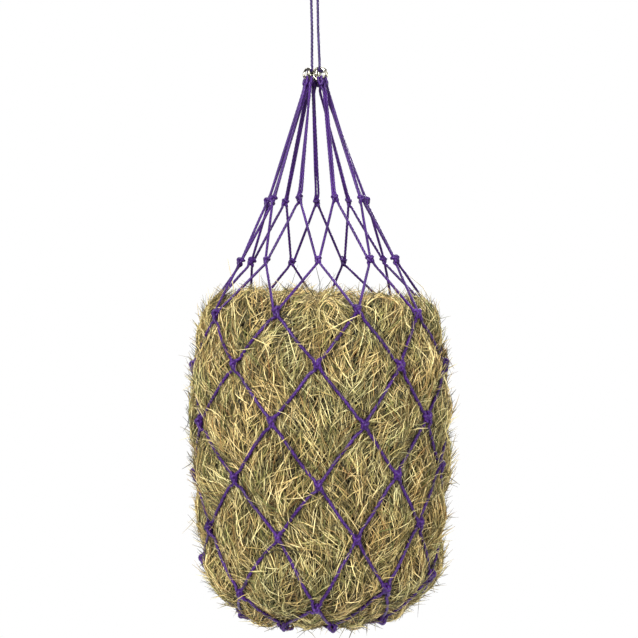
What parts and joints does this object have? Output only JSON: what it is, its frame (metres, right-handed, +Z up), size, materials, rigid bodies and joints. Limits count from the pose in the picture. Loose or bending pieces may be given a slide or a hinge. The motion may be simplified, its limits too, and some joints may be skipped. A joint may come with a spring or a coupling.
{
  "type": "hay net",
  "caption": "Knotted cord hay net gathered on steel rings by a draw cord, hanging full of hay from its loop.",
  "frame": {"origin": "the point that the hanging loop hangs from, on the inside of its top bend", "axes": "+Z up along the net's centre line, -Y towards the front, +X to the front view's right"},
  "size_m": [0.3832, 0.3861, 1.0192],
  "materials": {
    "net_cord": "braided polypropylene cord, slight sheen",
    "draw_cord": "braided polypropylene cord, slight sheen",
    "ring_steel": "nickel-plated steel wire, welded and tumbled",
    "hay": "dry meadow hay, matt stems with some shine"
  },
  "bodies": {
    "hanger": {"hanging_loop": "draw_cord"},
    "knot": {"top_knot": "draw_cord", "knot_tails": "draw_cord"},
    "strands": {"drawcord_left": "draw_cord", "drawcord_right": "draw_cord"},
    "net": {"drawcord_circle": "draw_cord", "ring_hitches": "net_cord", "top_loops": "net_cord", "net_course_1": "net_cord", "net_course_2": "net_cord", "net_course_3": "net_cord", "net_course_4": "net_cord", "net_course_5": "net_cord", "net_course_6": "net_cord", "net_course_7": "net_cord", "net_course_8": "net_cord", "net_course_9": "net_cord", "base_bights": "net_cord", "base_loop": "net_cord", "hay_flake_1": "hay", "hay_flake_2": "hay", "hay_flake_3": "hay", "hay_flake_4": "hay", "hay_flake_5": "hay", "hay_flake_6": "hay"},
    "ring_1": {"ring_1": "ring_steel"},
    "ring_2": {"ring_2": "ring_steel"},
    "ring_3": {"ring_3": "ring_steel"},
    "ring_4": {"ring_4": "ring_steel"},
    "ring_5": {"ring_5": "ring_steel"},
    "ring_6": {"ring_6": "ring_steel"},
    "ring_7": {"ring_7": "ring_steel"},
    "ring_8": {"ring_8": "ring_steel"},
    "ring_9": {"ring_9": "ring_steel"}
  },
  "joints": [
    {"name": "swing_side", "type": "hinge", "parent": "hanger", "child": "knot", "pos_m": [0, 0, -0.066], "axis": [0, 1, 0], "range_deg": [-30, 30]},
    {"name": "swing_fore_aft", "type": "hinge", "parent": "knot", "child": "strands", "pos_m": [0, 0, -0.066], "axis": [1, 0, 0], "range_deg": [-30, 30]},
    {"name": "twist", "type": "hinge", "parent": "strands", "child": "net", "pos_m": [0, 0, -0.1935], "axis": [0, 0, 1], "range_deg": [-180, 180], "deforming": ["drawcord_left", "drawcord_right"]},
    {"name": "ring_1_turn", "type": "hinge", "parent": "net", "child": "ring_1", "pos_m": [0.00525, -0.00909, -0.1935], "axis": [0.342, 0.9397, 0], "continuous": true},
    {"name": "ring_2_turn", "type": "hinge", "parent": "net", "child": "ring_2", "pos_m": [0.00952, -0.00444, -0.1935], "axis": [-0.2588, 0.9659, 0], "continuous": true},
    {"name": "ring_3_turn", "type": "hinge", "parent": "net", "child": "ring_3", "pos_m": [0.01034, 0.00182, -0.1935], "axis": [-0.766, 0.6428, 0], "continuous": true},
    {"name": "ring_4_turn", "type": "hinge", "parent": "net", "child": "ring_4", "pos_m": [0.00742, 0.00742, -0.1935], "axis": [-0.9962, 0.0872, 0], "continuous": true},
    {"name": "ring_5_turn", "type": "hinge", "parent": "net", "child": "ring_5", "pos_m": [0.00182, 0.01034, -0.1935], "axis": [-0.866, -0.5, 0], "continuous": true},
    {"name": "ring_6_turn", "type": "hinge", "parent": "net", "child": "ring_6", "pos_m": [-0.00444, 0.00952, -0.1935], "axis": [-0.4226, -0.9063, 0], "continuous": true},
    {"name": "ring_7_turn", "type": "hinge", "parent": "net", "child": "ring_7", "pos_m": [-0.00909, 0.00525, -0.1935], "axis": [0.1736, -0.9848, 0], "continuous": true},
    {"name": "ring_8_turn", "type": "hinge", "parent": "net", "child": "ring_8", "pos_m": [-0.01046, -0.00092, -0.1935], "axis": [0.7071, -0.7071, 0], "continuous": true},
    {"name": "ring_9_turn", "type": "hinge", "parent": "net", "child": "ring_9", "pos_m": [-0.00804, -0.00675, -0.1935], "axis": [0.9848, -0.1736, 0], "continuous": true}
  ]
}
